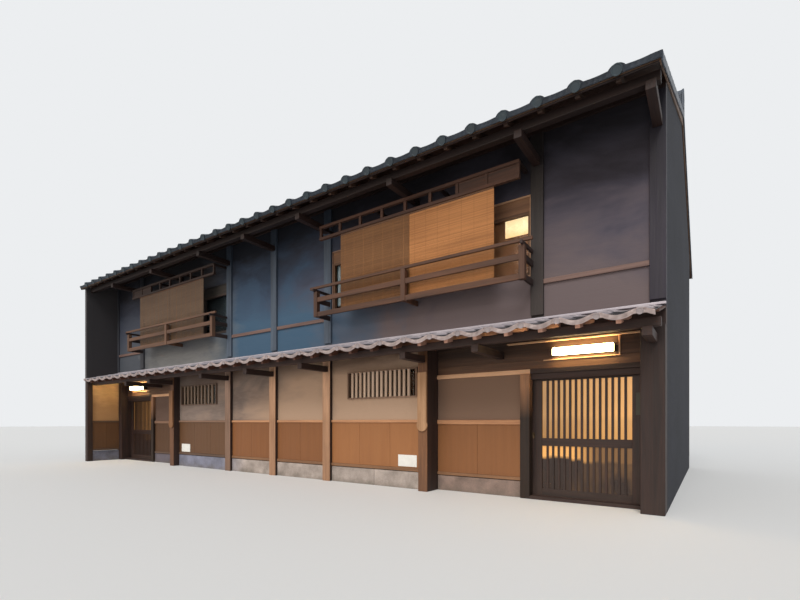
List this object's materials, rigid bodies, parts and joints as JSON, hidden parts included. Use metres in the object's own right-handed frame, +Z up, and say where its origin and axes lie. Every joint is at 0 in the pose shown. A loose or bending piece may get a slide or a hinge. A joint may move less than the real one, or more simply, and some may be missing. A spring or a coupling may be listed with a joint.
{
  "type": "machiya townhouse",
  "caption": "Timber and plaster townhouse row with tiled gable and pent roofs, latticed sliding doors, railed upper windows and hanging blinds.",
  "frame": {"origin": "on the ground at the centre of the house plan", "axes": "+X along the street to the right seen from the street, +Y from the street into the house, +Z up"},
  "size_m": [15.28, 9.4736, 7.6855],
  "materials": {
    "floor_earth": "rammed and rough",
    "floor_boards": "oiled boards",
    "base_stone": "rough cement-faced stone",
    "wall_plaster": "matte trowelled plaster",
    "timber": "stained, weathered",
    "timber_dark": "dark stained",
    "wainscot_boards": "red-brown stained boards",
    "lower_plaster": "matte trowelled plaster",
    "upper_plaster": "matte trowelled plaster",
    "lattice_wood": "plain sanded wood",
    "door_wood": "dark stained, satin",
    "window_wood": "stained wood",
    "glass": "clear",
    "lit_glass": "frosted, lit from inside",
    "roof_boards": "rough sawn, weathered",
    "roof_tile": "smoked grey, dull sheen",
    "bamboo": "split bamboo, matte",
    "fascia_wood": "weathered wood",
    "lamp_shade": "white diffuser, lit",
    "sign_wood": "oiled wood",
    "plate_white": "matte white, bare"
  },
  "bodies": {
    "house": {"ground_floor": "floor_earth", "upper_floor": "floor_boards", "stone_base": "base_stone", "party_wall_left": "wall_plaster", "party_wall_right": "wall_plaster", "rear_wall_lower": "wall_plaster", "rear_wall_upper": "wall_plaster", "rear_timbers": "timber", "rear_windows": "timber", "window_glass": "glass", "front_posts": "timber", "deep_posts": "timber_dark", "end_posts": "timber_dark", "door_posts": "timber_dark", "side_wing": "wall_plaster", "lower_rails": "timber", "wainscot": "wainscot_boards", "lower_plaster": "lower_plaster", "window_lattice_left": "lattice_wood", "window_lattice_right": "lattice_wood", "door_heads": "timber", "door_sills": "timber_dark", "entry_boards": "timber_dark", "wall_beam": "timber", "bracket_arms": "timber", "eave_beams": "timber", "pent_deck": "roof_boards", "pent_tiles": "roof_tile", "upper_posts": "timber", "upper_rails": "timber", "upper_plaster": "upper_plaster", "upper_window_left": "window_wood", "upper_window_right": "window_wood", "balcony_posts": "timber", "balcony_rails": "timber", "balcony_returns": "timber", "blind_frames": "timber", "blinds_left": "bamboo", "blinds_right": "bamboo", "wall_plates": "timber", "roof_deck_front": "roof_boards", "roof_deck_rear": "roof_boards", "roof_tiles_front": "roof_tile", "roof_tiles_rear": "roof_tile", "ridge": "roof_tile", "fascia_boards": "fascia_wood", "gable_boards": "fascia_wood", "lamps": "lamp_shade", "hanging_boards": "sign_wood", "notice_plates": "plate_white"},
    "door_right": {"door_right": "door_wood", "door_glass_right": "lit_glass"},
    "door_left": {"door_left": "door_wood", "door_glass_left": "lit_glass"}
  },
  "joints": [
    {"name": "door_right_slide", "type": "slide", "parent": "house", "child": "door_right", "axis": [-1, 0, 0], "range_m": [0, 1.5]},
    {"name": "door_left_slide", "type": "slide", "parent": "house", "child": "door_left", "axis": [1, 0, 0], "range_m": [0, 1.5]}
  ]
}
